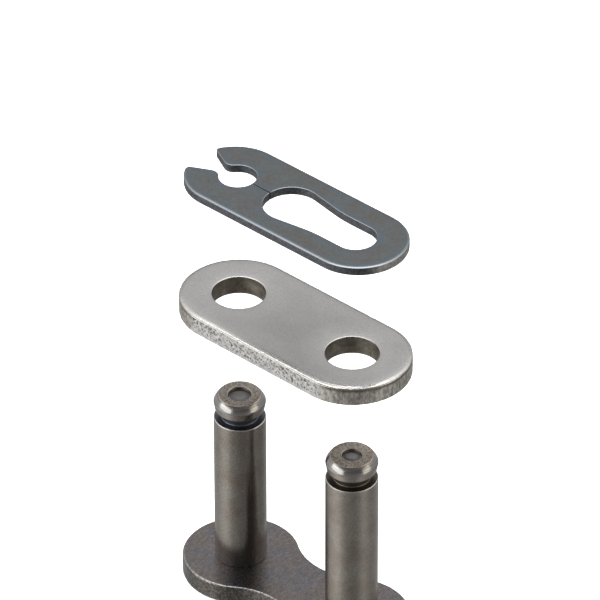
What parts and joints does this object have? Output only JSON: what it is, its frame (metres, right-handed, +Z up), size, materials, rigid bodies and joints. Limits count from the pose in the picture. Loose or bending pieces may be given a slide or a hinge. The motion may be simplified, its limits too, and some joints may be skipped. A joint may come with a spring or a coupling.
{
  "type": "chain connecting link",
  "caption": "Roller chain connecting link, taken apart: waisted plate with pressed grooved pins, slip-on link plate and keyhole spring clip that locks it.",
  "frame": {"origin": "midway between the two pins, on the surface that the pin tails stand on", "axes": "+Z up the pins, +X along the plates towards the closed end of the spring clip, +Y across the plates"},
  "size_m": [0.0228, 0.01, 0.0412],
  "materials": {
    "base_plate_steel": "dark heat-treated steel with brown and blue temper tints, tumbled rims",
    "pin_steel": "case-hardened steel, ground shaft and turned head, satin",
    "link_plate_steel": "pale tumbled steel, fine matt grain, pitted sheared wall",
    "clip_spring_steel": "blue-grey tempered spring steel, polished stamped rims"
  },
  "bodies": {
    "base": {"base_plate": "base_plate_steel", "pin_left": "pin_steel", "pin_right": "pin_steel"},
    "link_plate": {"link_plate": "link_plate_steel"},
    "spring_clip": {"spring_clip": "clip_spring_steel"}
  },
  "joints": [
    {"name": "plate_slide", "type": "slide", "parent": "base", "child": "link_plate", "axis": [0, 0, 1], "range_m": [-0.01275, 0.01]},
    {"name": "clip_slide", "type": "slide", "parent": "link_plate", "child": "spring_clip", "axis": [0, 0, 1], "range_m": [-0.0109, 0]}
  ]
}
